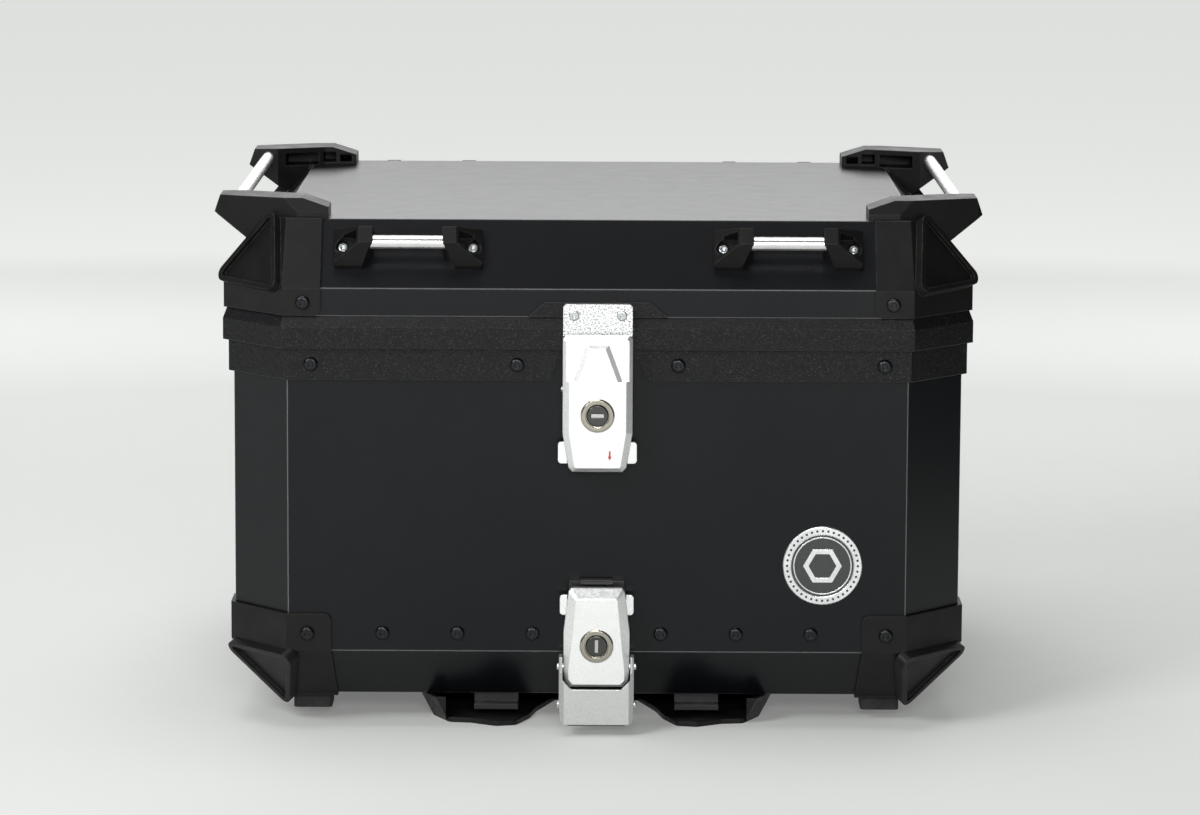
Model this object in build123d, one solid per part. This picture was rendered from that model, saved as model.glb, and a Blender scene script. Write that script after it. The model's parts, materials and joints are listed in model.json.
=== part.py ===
from build123d import *
import os
from math import hypot

# A hard aluminium motorcycle top case on its rack mounting plate, in millimetres.
# +X runs across the case, the latch side faces -Y, +Z is up.
# The origin is on the underside of the mounting plate, below the middle of the case.

# ---- driving dimensions: case body --------------------------------------------------------------
BODY_HALF_X = 217.0        # outside of the side walls
BODY_HALF_Y = 198.0        # outside of the front and back walls
CORNER_CUT = 34.0          # how far each cut corner runs along the front wall
CUT_SLOPE = 38 / 34        # run along the side wall for each mm along the front wall
CUT_GROWTH = 0.553         # change of the cut for each mm the outline grows outwards
FLOOR_HALF_X = 187.0
FLOOR_HALF_Y = 169.0
FLOOR_CUT = 4.0
FLOOR_Z = 16.2             # underside of the case floor
BEND_Z = 47.5              # where the walls turn inwards to the floor
WALL_TOP_Z = 238.0
SHEET = 2.0                # aluminium sheet thickness
PAN_SHEET = 1.6
PAN_TOP_Z = 66.0
BOLT_ROW_Z = 58.3

# ---- driving dimensions: collar round the mouth -------------------------------------------------
COLLAR_LOW_Z = 210.2
COLLAR_STEP_Z = 229.1
COLLAR_LEDGE_Z = 241.8
COLLAR_TOP_Z = 247.8
COLLAR_LOW_GROW = 3.1      # lower step, proud of the body wall
COLLAR_HIGH_GROW = 6.4     # upper step
COLLAR_SCREW_Z = 219.6

# ---- driving dimensions: lid --------------------------------------------------------------------
LID_GROW = 3.6             # lid band, proud of the body wall
LID_LOW_Z = 248.1
LID_BEND_Z = 264.6
LID_TOP_Z = 303.0
TOP_HALF_X = 187.3
TOP_HALF_Y = 177.0
TOP_CUT = 4.0

# ---- driving dimensions: latches ----------------------------------------------------------------
UPPER_PIVOT_Y, UPPER_PIVOT_Z = -212.5, 234.2
CLAW_PIVOT_Y, CLAW_PIVOT_Z = -211.2, 207.0
UPPER_LOCK_Z = 192.1
UPPER_FRONT_Y = -218.0
LOWER_PIVOT_Y, LOWER_PIVOT_Z = -208.5, 34.5
STIRRUP_PIVOT_Y, STIRRUP_PIVOT_Z = -211.0, 41.2
LOWER_LOCK_Z = 54.3
LOWER_FRONT_Y = -216.0
LEVER_WALL = 2.8
LEVER_BEVEL = 3.2
PIN_RADIUS = 1.5
PIN_CLEARANCE = 0.05
RELEASE_TRAVEL = 4.0

# ---- driving dimensions: hinges, rails, plate ---------------------------------------------------
HINGE_Y, HINGE_Z = 210.5, 248.2
HINGE_X = 110.0
KNUCKLE_RADIUS = 4.5
HINGE_PIN_RADIUS = 2.2
RAIL_X, RAIL_Z, RAIL_RADIUS = 216.0, 309.0, 4.0
PLATE_FLOOR = 3.0
PLATE_RIM_Z = 15.8

BODY_FRONT = -BODY_HALF_Y
LID_FRONT = -(BODY_HALF_Y + LID_GROW)
COLLAR_LOW_FRONT = -(BODY_HALF_Y + COLLAR_LOW_GROW)
COLLAR_HIGH_FRONT = -(BODY_HALF_Y + COLLAR_HIGH_GROW)

parts = {}


# ---- shape helpers ------------------------------------------------------------------------------
def cut_rectangle(half_x, half_y, cut_x):
    """Plan outline: a rectangle whose four corners are cut off."""
    cut_y = cut_x * CUT_SLOPE
    quarter = [(half_x - cut_x, -half_y), (half_x, cut_y - half_y)]
    right = quarter + [(x, -y) for x, y in reversed(quarter)]
    left = [(-x, y) for x, y in reversed(right)]
    return Polygon(*right, *left, align=None)


def body_outline(grow):
    """Outline of the body wall, grown outwards by the given amount."""
    return cut_rectangle(BODY_HALF_X + grow, BODY_HALF_Y + grow, CORNER_CUT + grow * CUT_GROWTH)


def floor_outline(grow):
    return cut_rectangle(FLOOR_HALF_X + grow, FLOOR_HALF_Y + grow, FLOOR_CUT + grow * CUT_GROWTH)


def top_outline(grow):
    return cut_rectangle(TOP_HALF_X + grow, TOP_HALF_Y + grow, TOP_CUT + grow * CUT_GROWTH)


def pull(plane, outline, amount):
    """Extrude an outline drawn in a plane, along that plane's Z axis."""
    return extrude(plane * outline, amount=amount, dir=plane.z_dir)


def prism(outline, low, high):
    return pull(Plane.XY.offset(low), outline, high - low)


def taper(low_outline, low, high_outline, high):
    return loft([Pos(0, 0, low) * low_outline, Pos(0, 0, high) * high_outline], ruled=True)


def ring(outer_grow, inner_grow, low, high):
    return prism(body_outline(outer_grow), low, high) - prism(body_outline(inner_grow), low, high)


def block(x0, x1, y0, y1, z0, z1):
    """A box given by its limits."""
    size = Box(x1 - x0, y1 - y0, z1 - z0)
    return Pos((x0 + x1) / 2, (y0 + y1) / 2, (z0 + z1) / 2) * size


def front_prism(points, y0, y1):
    """A solid with an outline in X and Z, between two Y places."""
    plane = Plane(origin=(0, y0, 0), x_dir=(1, 0, 0), z_dir=(0, 1, 0))
    flat = Polygon(*[(x, -z) for x, z in points], align=None)
    return pull(plane, flat, y1 - y0)


def side_prism(points, x0, x1):
    """A solid with an outline in Y and Z, between two X places."""
    plane = Plane(origin=(x0, 0, 0), x_dir=(0, 1, 0), z_dir=(1, 0, 0))
    return pull(plane, Polygon(*points, align=None), x1 - x0)


def mirrored_points(half):
    """Close an outline given on the +X side with its mirror image."""
    return half + [(-x, z) for x, z in reversed(half)]


def rod_x(radius, x0, x1, y, z):
    """A round bar along X."""
    return Pos((x0 + x1) / 2, y, z) * Rot(0, 90, 0) * Cylinder(radius, x1 - x0)


def rod_y(radius, y0, y1, x, z):
    """A round bar along Y."""
    return Pos(x, (y0 + y1) / 2, z) * Rot(90, 0, 0) * Cylinder(radius, y1 - y0)


def group(shapes):
    """Separate solids kept together in one node."""
    return Compound([solid for shape in shapes for solid in shape.solids()])


def both_sides(shape):
    return [shape, mirror(shape, about=Plane.YZ)]


def front_and_back(shapes):
    return shapes + [mirror(shape, about=Plane.XZ) for shape in shapes]


def front_place(x, y, z):
    """A place on a front face: its Z axis points out of the face."""
    return Plane(origin=(x, y, z), x_dir=(1, 0, 0), z_dir=(0, -1, 0))


def side_place(x, y, z):
    """A place on the +X side face: its Z axis points out of the face."""
    return Plane(origin=(x, y, z), x_dir=(0, 1, 0), z_dir=(1, 0, 0))


def button_screw(head_radius=4.2, head_height=2.4, shank_radius=2.4, shank=5.0, rounding=0.7):
    """A button-head screw with a hex socket; its head sits on the local XY plane."""
    head = Pos(0, 0, head_height / 2) * Cylinder(head_radius, head_height)
    head = fillet(head.edges().sort_by(Axis.Z)[-1], head_height * rounding)
    socket_low = head_height * 0.25
    socket = pull(Plane.XY.offset(socket_low), RegularPolygon(head_radius * 0.42, 6), head_height)
    stem = Pos(0, 0, -shank / 2) * Cylinder(shank_radius, shank)
    return head - socket + stem


def screw_hole(shank_radius=2.4, depth=30.0):
    return Cylinder(shank_radius, depth)


def place_all(places, shape):
    return [place * shape for place in places]


def drill(shape, places, hole):
    """Take the same hole out of a shape at every place."""
    for place in places:
        shape -= place * hole
    return shape


def around(places):
    """Repeat places on the -Y and +X sides on the opposite sides too."""
    result = []
    for place in places:
        result.append(place)
        flip = Vector(-place.origin.X, -place.origin.Y, place.origin.Z)
        turned = Plane(origin=flip, x_dir=place.x_dir * -1, z_dir=place.z_dir * -1)
        result.append(turned)
    return result


# ---- places of the fasteners in the body --------------------------------------------------------
COLLAR_SCREW_X = (47.4, 168.9)
SKIRT_BOLT_X = (38.0, 82.6, 127.1)
CORNER_BOLT_X = 171.6
COLLAR_SCREW_Y = (40.0, 108.0)
SKIRT_BOLT_Y = (22.3, 66.8, 111.3)
CORNER_BOLT_Y = 147.0
CORNER_SKIN = 2.6          # how far the corner protectors stand off the wall
LID_CORNER_SKIN = 2.2
PAD_DEPTH = 7.0
CORNER_LOW_Z = FLOOR_Z - 1.5
BODY_SIDE = BODY_HALF_X

collar_places = [front_place(s * x, COLLAR_LOW_FRONT, COLLAR_SCREW_Z)
                 for x in COLLAR_SCREW_X for s in (-1, 1)]
collar_places += [side_place(BODY_SIDE + COLLAR_LOW_GROW, s * y, COLLAR_SCREW_Z)
                  for y in COLLAR_SCREW_Y for s in (-1, 1)]
collar_places = around(collar_places)
skirt_places = [front_place(s * x, BODY_FRONT, BOLT_ROW_Z) for x in SKIRT_BOLT_X for s in (-1, 1)]
skirt_places += [side_place(BODY_SIDE, s * y, BOLT_ROW_Z) for y in SKIRT_BOLT_Y for s in (-1, 1)]
skirt_places = around(skirt_places)
corner_bolt_places = [front_place(s * CORNER_BOLT_X, BODY_FRONT - CORNER_SKIN, BOLT_ROW_Z)
                      for s in (-1, 1)]
corner_bolt_places += [side_place(BODY_SIDE, s * CORNER_BOLT_Y, BOLT_ROW_Z)
                       for s in (-1, 1)]
corner_bolt_places = around(corner_bolt_places)


# ---- case body ----------------------------------------------------------------------------------
def make_body():
    outer = prism(body_outline(0), BEND_Z, WALL_TOP_Z)
    outer += taper(floor_outline(0), FLOOR_Z, body_outline(0), BEND_Z)
    inner = prism(body_outline(-SHEET), BEND_Z, WALL_TOP_Z)
    inner += taper(floor_outline(-SHEET), FLOOR_Z + SHEET, body_outline(-SHEET), BEND_Z)
    shell = outer - inner
    return drill(shell, collar_places + skirt_places + corner_bolt_places, screw_hole())


def make_pan():
    low, high = FLOOR_Z + SHEET, PAN_TOP_Z
    skin = -SHEET - PAN_SHEET
    outer = prism(body_outline(-SHEET), BEND_Z, high)
    outer += taper(floor_outline(-SHEET), low, body_outline(-SHEET), BEND_Z)
    inner = prism(body_outline(skin), BEND_Z, high)
    inner += taper(floor_outline(skin), low + PAN_SHEET, body_outline(skin), BEND_Z)
    return drill(outer - inner, skirt_places + corner_bolt_places, screw_hole())


def make_collar():
    inner_grow = -5.0
    collar = prism(body_outline(COLLAR_LOW_GROW), COLLAR_LOW_Z, COLLAR_STEP_Z)
    collar += prism(body_outline(COLLAR_HIGH_GROW), COLLAR_STEP_Z, COLLAR_LEDGE_Z)
    collar += taper(body_outline(COLLAR_HIGH_GROW), COLLAR_LEDGE_Z,
                    body_outline(LID_GROW + 0.5), COLLAR_TOP_Z)
    collar -= prism(body_outline(0), COLLAR_LOW_Z, WALL_TOP_Z)
    collar -= prism(body_outline(inner_grow), COLLAR_LOW_Z, COLLAR_TOP_Z)
    collar += ring(-SHEET, inner_grow, COLLAR_STEP_Z - 3, WALL_TOP_Z)
    collar -= ring(0, -3.0, COLLAR_TOP_Z - 3.8, COLLAR_TOP_Z)
    notch = mirrored_points([(28.0, COLLAR_LOW_Z), (24.5, 223.2)])
    collar -= front_prism(notch, COLLAR_LOW_FRONT - 1, BODY_FRONT)
    for x in (-HINGE_X, HINGE_X):
        back = -COLLAR_LOW_FRONT
        collar += block(x - 28, x + 28, back, -COLLAR_HIGH_FRONT, 213.0, COLLAR_STEP_Z)
    collar = drill(collar, hinge_body_screw_places, screw_hole(1.9))
    return drill(collar, collar_places, screw_hole())


# ---- corner protectors --------------------------------------------------------------------------
def corner_pad(front_end, side_end, apex, reaches, apex_shift, base_drop):
    """A rimmed triangular bumper on a sloped corner facet.

    front_end and side_end are the ends of the facet's long level edge and apex is its far tip.
    reaches says how far the pad goes past the front end, the side end and the tip.
    """
    front_end, side_end, apex = Vector(*front_end), Vector(*side_end), Vector(*apex)
    middle = (front_end + side_end) / 2
    along = (side_end - front_end).normalized()
    up = apex - middle
    normal = along.cross(up).normalized()
    if normal.X < 0:
        normal = normal * -1
    up_sign = 1 if normal.cross(along).dot(up) > 0 else -1
    plane = Plane(origin=middle, x_dir=along, z_dir=normal)
    half = (side_end - front_end).length / 2
    front_reach, side_reach, apex_reach = reaches
    outline = Polygon((-half - front_reach, -up_sign * base_drop), (half + side_reach, -up_sign * 2.5),
                      (-apex_shift, up_sign * (up.length + apex_reach)), align=None)
    outline = fillet(outline.vertices(), 5.5)
    hollow = offset(outline, -3.2)
    pad = pull(plane, outline, PAD_DEPTH)
    return pad - pull(plane.offset(PAD_DEPTH - 2.6), hollow, 3.0)


def is_side(place):
    return abs(place.z_dir.X) > 0.5


def drill_corner(corner, places):
    """Bolt holes of the front right corner piece; the side bolts' heads are sunk in it."""
    own = [place for place in places if place.origin.X > 0 and place.origin.Y < 0]
    corner = drill(corner, [place for place in own if is_side(place)], screw_hole(4.6))
    return drill(corner, own, screw_hole())


def strip_outline(edge, low, high, bend, slant):
    """Outline of a protector strip: from its inner edge outwards, with one rounded corner."""
    far = 260.0
    if high > bend:
        points = [(edge, high), (edge, bend), (edge - slant, low), (far, low), (far, high)]
        rounded = (edge, high)
    else:
        points = [(edge, low), (far, low), (far, high), (edge, high)]
        rounded = (edge, low)
    face = Polygon(*points, align=None)
    corner = face.vertices().sort_by_distance((rounded[0], rounded[1], 0))[0]
    return fillet(corner, 4.0)


def strip_region(front_face, side_face):
    """The space round the front right corner that both strip outlines cover."""
    front_plane = Plane(origin=(0, 0, 0), x_dir=(1, 0, 0), z_dir=(0, -1, 0))
    side_plane = Plane(origin=(0, 0, 0), x_dir=(0, -1, 0), z_dir=(-1, 0, 0))
    front = pull(front_plane, front_face, 260.0)
    side = pull(side_plane, side_face, -260.0)
    return front & side


def make_bottom_corner():
    low = CORNER_LOW_Z
    skin = prism(body_outline(CORNER_SKIN), BEND_Z, 70.0)
    skin += taper(floor_outline(CORNER_SKIN), FLOOR_Z, body_outline(CORNER_SKIN), BEND_Z)
    skin += prism(floor_outline(CORNER_SKIN), low, FLOOR_Z)
    solid = prism(body_outline(0), BEND_Z, 70.0)
    solid += taper(floor_outline(0), FLOOR_Z, body_outline(0), BEND_Z)
    front = strip_outline(157.5, low, 70.0, BEND_Z, 2.5)
    side = strip_outline(132.5, low, 70.0, BEND_Z, 2.5)
    corner = (skin - solid) & strip_region(front, side)
    cut_y = CORNER_CUT * CUT_SLOPE
    pad = corner_pad((BODY_HALF_X - CORNER_CUT, BODY_FRONT, BEND_Z),
                     (BODY_HALF_X, BODY_FRONT + cut_y, BEND_Z),
                     (FLOOR_HALF_X - 2, -FLOOR_HALF_Y + 2.2, FLOOR_Z), (11.5, 7.0, 5.8), 5.0, 2.5)
    return drill_corner(corner + (pad - solid), corner_bolt_places)


def make_lid_corner():
    high = LID_TOP_Z + 0.6
    grown = LID_GROW + LID_CORNER_SKIN
    skin = prism(body_outline(grown), LID_LOW_Z + 0.4, LID_BEND_Z)
    skin += taper(body_outline(grown), LID_BEND_Z, top_outline(LID_CORNER_SKIN), LID_TOP_Z)
    skin += prism(top_outline(LID_CORNER_SKIN), LID_TOP_Z, high)
    solid = prism(body_outline(LID_GROW), LID_LOW_Z, LID_BEND_Z)
    solid += taper(body_outline(LID_GROW), LID_BEND_Z, top_outline(0), LID_TOP_Z)
    solid += prism(top_outline(-1.0), LID_TOP_Z, high)
    front = strip_outline(163.0, LID_LOW_Z + 0.4, high, high + 1, 0)
    side = strip_outline(140.0, LID_LOW_Z + 0.4, high, high + 1, 0)
    corner = (skin - solid) & strip_region(front, side)
    cut_x = CORNER_CUT + LID_GROW * CUT_GROWTH
    pad = corner_pad((BODY_HALF_X + LID_GROW - cut_x, LID_FRONT, LID_BEND_Z),
                     (BODY_HALF_X + LID_GROW, LID_FRONT + cut_x * CUT_SLOPE, LID_BEND_Z),
                     (TOP_HALF_X - 2, -TOP_HALF_Y + 2.2, LID_TOP_Z), (2.5, 6.0, 5.0), 1.5, 4.5)
    return drill_corner(corner + (pad - solid), lid_corner_places)


def four_corners(name, shape):
    """Put a corner piece at all four corners, each in its own node."""
    left = mirror(shape, about=Plane.YZ)
    parts[name + "_front_right"] = shape
    parts[name + "_front_left"] = left
    parts[name + "_back_right"] = mirror(shape, about=Plane.XZ)
    parts[name + "_back_left"] = mirror(left, about=Plane.XZ)


# ---- lid ----------------------------------------------------------------------------------------
lid_corner_places = [front_place(s * 173.4, LID_FRONT - LID_CORNER_SKIN, 256.4) for s in (-1, 1)]
lid_corner_places += [side_place(BODY_SIDE + LID_GROW, s * 149.0, 256.4) for s in (-1, 1)]
lid_corner_places = around(lid_corner_places)
hinge_body_screw_places = [Plane(origin=(s * HINGE_X + d, -COLLAR_HIGH_FRONT + 2.0, 221.0),
                                 x_dir=(-1, 0, 0), z_dir=(0, 1, 0))
                           for s in (-1, 1) for d in (-17, 17)]
hinge_lid_screw_places = [Plane(origin=(s * HINGE_X + d, -LID_FRONT + 3.4, 258.4),
                                x_dir=(-1, 0, 0), z_dir=(0, 1, 0))
                          for s in (-1, 1) for d in (-17, 17)]


def make_lid_shell():
    under = 2.0
    inner_top = LID_TOP_Z - under
    outer = prism(body_outline(LID_GROW), LID_LOW_Z, LID_BEND_Z)
    outer += taper(body_outline(LID_GROW), LID_BEND_Z, top_outline(0), LID_TOP_Z)
    inner = prism(body_outline(LID_GROW - under), LID_LOW_Z, LID_BEND_Z)
    inner += taper(body_outline(LID_GROW - under), LID_BEND_Z, top_outline(-0.4), inner_top)
    shell = drill(outer - inner, lid_corner_places, screw_hole())
    return drill(shell, hinge_lid_screw_places, screw_hole(1.9))


def make_lid_rim():
    rim = ring(LID_GROW - 2.0, -6.0, 248.4, 252.0) + ring(LID_GROW - 2.0, -1.8, 252.0, 262.0)
    rim = drill(rim, lid_corner_places, screw_hole())
    return drill(rim, hinge_lid_screw_places, screw_hole(1.9))


# ---- side rails and their brackets --------------------------------------------------------------
def make_rail_bracket():
    """The front right bracket: a hollow casting, open towards the middle of the case."""
    tip = (225.0, RAIL_Z)
    tip_radius = 5.8
    outline = Polygon((159.5, LID_TOP_Z), (159.5, 309.7), (175.0, 314.8), (tip[0], 314.8),
                      (tip[0] + 3.6, RAIL_Z - 4.5), (204.5, 286.5), (TOP_HALF_X, LID_TOP_Z),
                      align=None)
    outline += Pos(*tip) * Circle(tip_radius)
    plane = Plane(origin=(0, 0, 0), x_dir=(1, 0, 0), z_dir=(0, -1, 0))
    body = pull(plane, outline, 200.0)
    plan = Polygon((155, -177.5), (178, -177.5), (226, -156), (232, -150), (232, -131),
                   (210, -131), (180, -145), (155, -149), align=None)
    body &= prism(plan, 270.0, 330.0)
    bevel = side_prism([(-190, LID_TOP_Z + 1.2), (-178.6, LID_TOP_Z + 1.2), (-173.5, 316),
                        (-190, 316)], 150.0, 186.0)
    body -= bevel
    for x0, x1, z0, z1 in ((162.5, 170.0, 305.0, 309.5), (172.5, 181.0, 305.0, 311.5),
                           (184.0, 205.0, 303.5, 311.5)):
        body -= block(x0, x1, -171.0 + (x0 - 162) * 0.45, -120.0, z0, z1)
    body -= rod_y(RAIL_RADIUS, -141.0, -100.0, RAIL_X, RAIL_Z)
    solid = prism(body_outline(LID_GROW), LID_LOW_Z, LID_BEND_Z)
    solid += taper(body_outline(LID_GROW), LID_BEND_Z, top_outline(0), LID_TOP_Z)
    bracket = body - solid - parts["lid_corner_front_right"]
    return bracket.solids().sort_by(SortBy.VOLUME)[-1]


# ---- tie-down handles on the sloped faces -------------------------------------------------------
SLOPE_RUN = -LID_FRONT - TOP_HALF_Y
SLOPE_RISE = LID_TOP_Z - LID_BEND_Z
HANDLE_Z = 287.0
HANDLE_Y = LID_FRONT + SLOPE_RUN * (HANDLE_Z - LID_BEND_Z) / SLOPE_RISE
HANDLE_INNER_X, HANDLE_END = 67.7, 23.5
HANDLE_OUTER_X = 155.8
HANDLE_SCREW_X, HANDLE_SCREW_Y = 17.6, -3.2
ROD_UP, ROD_OUT = -2.4, 12.4     # rod centre, up the slope and out of it
slope_length = hypot(SLOPE_RUN, SLOPE_RISE)
slope_normal = (0, -SLOPE_RISE / slope_length, SLOPE_RUN / slope_length)


def handle_place(x):
    """A place on the lid's front slope: local X across, Y up the slope, Z out of it."""
    return Plane(origin=(x, HANDLE_Y, HANDLE_Z), x_dir=(1, 0, 0), z_dir=slope_normal)


def make_handle_end():
    """One end block; local X grows away from the rod."""
    profile = Polygon((-13.5, 0), (-13.5, 3), (-5.5, 18.5), (5.0, 18.5), (10.5, 3), (10.5, 0),
                      align=None)
    plane = Plane(origin=(0, 0, 0), x_dir=(0, 1, 0), z_dir=(1, 0, 0))
    end = pull(plane, profile, HANDLE_END)
    slope = Plane(origin=(0, -20, 0), x_dir=(1, 0, 0), z_dir=(0, 1, 0))
    wedge = Polygon((7.5, -19.0), (30.0, -19.0), (30.0, -3.2), (HANDLE_END, -5.2), align=None)
    end -= pull(slope, wedge, 40.0)
    low_corner = Polygon((-1, -16), (8.5, -16), (0, -4.5), (-1, -4.5), align=None)
    end -= pull(Plane.XY, low_corner, 30.0)
    end -= Pos(HANDLE_SCREW_X, HANDLE_SCREW_Y, 12.0) * Cylinder(4.6, 16.0)
    end -= Pos(HANDLE_SCREW_X, HANDLE_SCREW_Y, 0.0) * Cylinder(2.0, 20.0)
    end -= block(9.5, HANDLE_SCREW_X, HANDLE_SCREW_Y - 2.0, HANDLE_SCREW_Y + 6.5, 6.0, 30.0)
    rod_hole = Pos(0, ROD_UP, ROD_OUT) * Rot(0, 90, 0) * Cylinder(4.0, 14.0)
    plan = Polygon((0, -14), (HANDLE_END, -14), (HANDLE_END, 11), (0, 11), align=None)
    plan = fillet(plan.vertices().sort_by(Axis.X)[-2:], 3.0)
    return (end & pull(Plane.XY, plan, 30.0)) - rod_hole


def make_handles():
    end = make_handle_end()
    opposite = mirror(end, about=Plane.YZ)
    inner_x = HANDLE_INNER_X + HANDLE_END
    outer_x = HANDLE_OUTER_X - HANDLE_END
    ends = [handle_place(inner_x) * opposite, handle_place(outer_x) * end]
    ends += [mirror(shape, about=Plane.YZ) for shape in ends]
    parts["handle_ends_front"] = group(ends)
    parts["handle_ends_back"] = group([mirror(shape, about=Plane.XZ) for shape in ends])
    length = outer_x - inner_x + 14.0
    rod = Pos(0, ROD_UP, ROD_OUT) * Rot(0, 90, 0) * Cylinder(4.0, length)
    rods = both_sides(handle_place((inner_x + outer_x) / 2) * rod)
    parts["handle_rods"] = group(front_and_back(rods))
    screw = Pos(0, HANDLE_SCREW_Y, 4.0) * button_screw(2.9, 2.8, 2.0, 6.5, 0.25)
    screw_x = (inner_x - HANDLE_SCREW_X, outer_x + HANDLE_SCREW_X)
    screws = [handle_place(x) * screw for x in screw_x]
    screws += [mirror(shape, about=Plane.YZ) for shape in screws]
    parts["handle_screws"] = group(front_and_back(screws))
    holes = [handle_place(x) * Pos(0, HANDLE_SCREW_Y, 0) * Cylinder(2.0, 10.0) for x in screw_x]
    return front_and_back([shape for hole in holes for shape in both_sides(hole)])


# ---- keeper on the lid --------------------------------------------------------------------------
PAD_FRONT = LID_FRONT - 2.0
KEEPER_FRONT = -208.0
LIP_LOW_Z = 226.0          # underside of the lip that the claw holds down


def make_keeper():
    pad_outline = mirrored_points([(41.0, LID_LOW_Z + 0.4), (31.0, 257.2)])
    pad = front_prism(pad_outline, PAD_FRONT, LID_FRONT)
    plate_outline = mirrored_points([(20.4, 237.6), (20.4, 254.8), (18.9, 256.5)])
    plate = front_prism(plate_outline, KEEPER_FRONT, PAD_FRONT)
    plate -= block(-25, 25, -205.3, -200, 230, LID_LOW_Z + 0.4)
    plate += block(-8, 8, -206.7, -205.3, LIP_LOW_Z, 241.0)
    plate += block(-8, 8, -208.6, -206.7, LIP_LOW_Z, LIP_LOW_Z + 2.2)
    places = [front_place(s * 14.0, KEEPER_FRONT, 250.0) for s in (-1, 1)]
    hole = screw_hole(1.4, 20.0)
    parts["keeper_pad"] = drill(pad, places, hole)
    parts["keeper_plate"] = drill(plate, places, hole)
    parts["keeper_screws"] = group(place_all(places, button_screw(3.1, 1.8, 1.4, 8.0, 0.5)))
    parts["lid_shell"] = drill(parts["lid_shell"], places, hole)
    parts["lid_rim"] = drill(parts["lid_rim"], places, hole)


# ---- latch levers -------------------------------------------------------------------------------
def front_outline(half_outline, y):
    """A closed, mirrored outline in X and Z, lying at one Y place."""
    plane = Plane(origin=(0, y, 0), x_dir=(1, 0, 0), z_dir=(0, 1, 0))
    return plane * Polygon(*[(x, -z) for x, z in mirrored_points(half_outline)], align=None)


def lever_shell(outer, face, inner, front, back):
    """A die-cast lever: bevelled front face, hollow and open at the back."""
    bevel_y = front + LEVER_BEVEL
    solid = front_prism(mirrored_points(outer), bevel_y, back)
    solid += loft([front_outline(face, front), front_outline(outer, bevel_y)], ruled=True)
    return solid - front_prism(mirrored_points(inner), front + LEVER_WALL, back + 1)


def make_lock(name, front, lock_z, slot_turn):
    """Lock ring with its barrel, and the key plug that turns in it."""
    ring_face = rod_y(10.0, front - 1.2, front, 0, lock_z)
    ring_face = chamfer(ring_face.edges().filter_by(GeomType.CIRCLE).sort_by(Axis.Y)[0], 0.9)
    barrel = rod_y(7.6, front, front + 12.0, 0, lock_z)
    bore = rod_y(6.4 + PIN_CLEARANCE, front - 3, front + 20, 0, lock_z)
    bore += rod_y(7.1, front - 3, front + 0.6, 0, lock_z)
    parts[name + "_lock_ring"] = ring_face + barrel - bore
    plug = rod_y(6.4, front - 0.9, front + 13.6, 0, lock_z)
    plug = chamfer(plug.edges().filter_by(GeomType.CIRCLE).sort_by(Axis.Y)[0], 0.5)
    slot = Pos(0, front - 0.9, lock_z) * Rot(0, slot_turn, 0) * Box(8.0, 1.0, 2.6)
    slot += Pos(0, front - 0.5, lock_z) * Rot(0, slot_turn, 0) * Box(6.6, 6.0, 0.9)
    cam = Pos(0, front + 13.4, lock_z) * Rot(0, slot_turn, 0) * Box(16.0, 1.6, 6.0)
    parts[name + "_key_plug"] = plug - slot + cam
    return rod_y(7.6, front - 5, front + 30, 0, lock_z)


def make_release(name, ear_low, ear_high, ear_x, root_x, sign, depth_y):
    """The two-eared release slider, which moves towards the lever's free end.

    sign is -1 when the free end is down and +1 when it is up. Returns the peg of the lever
    that holds the slider's spring.
    """
    thick = 2.5
    middle = (ear_low + ear_high) / 2
    plate_near = middle + sign * 3.0
    plate_far = middle - sign * 12.0
    low, high = min(plate_near, plate_far), max(plate_near, plate_far)
    plate = block(-13.0, 13.0, depth_y, depth_y + thick, low, high)
    ears = block(-ear_x, ear_x, depth_y, depth_y + thick, ear_low, ear_high)
    ears = fillet(ears.edges().filter_by(Axis.Y), 2.0)
    keep_off = 100.0
    between = block(-root_x, root_x, depth_y - 1, depth_y + thick + 1,
                    *sorted((plate_near, plate_near + sign * keep_off)))
    slider = plate + (ears - between)
    window_near = plate_near - sign * 2.0
    window_far = plate_far + sign * 2.0
    slider -= block(-3.5, 3.5, depth_y - 1, depth_y + thick + 1, *sorted((window_near, window_far)))
    catch_mid = plate_near - sign * 0.9
    slider += block(-5.0, 5.0, depth_y + thick, depth_y + thick + 2.0, catch_mid - 0.9, catch_mid + 0.9)
    parts[name + "_release"] = slider
    peg_z = window_near - sign * 1.6
    spring_low = peg_z - sign * 1.6
    spring_length = abs(window_far - spring_low) - RELEASE_TRAVEL - 0.9
    coil = Helix(pitch=spring_length / 5, height=spring_length, radius=1.9)
    wire = sweep(Plane(coil @ 0, z_dir=coil % 0) * Circle(0.35), path=coil)
    if sign < 0:
        wire_place = Pos(0, depth_y + thick / 2, spring_low)
    else:
        wire_place = Pos(0, depth_y + thick / 2, spring_low) * Rot(180, 0, 0)
    parts[name + "_spring"] = wire_place * wire
    return block(-2.6, 2.6, depth_y - 6.6, depth_y + thick, peg_z - 1.2, peg_z + 1.2)


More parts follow.
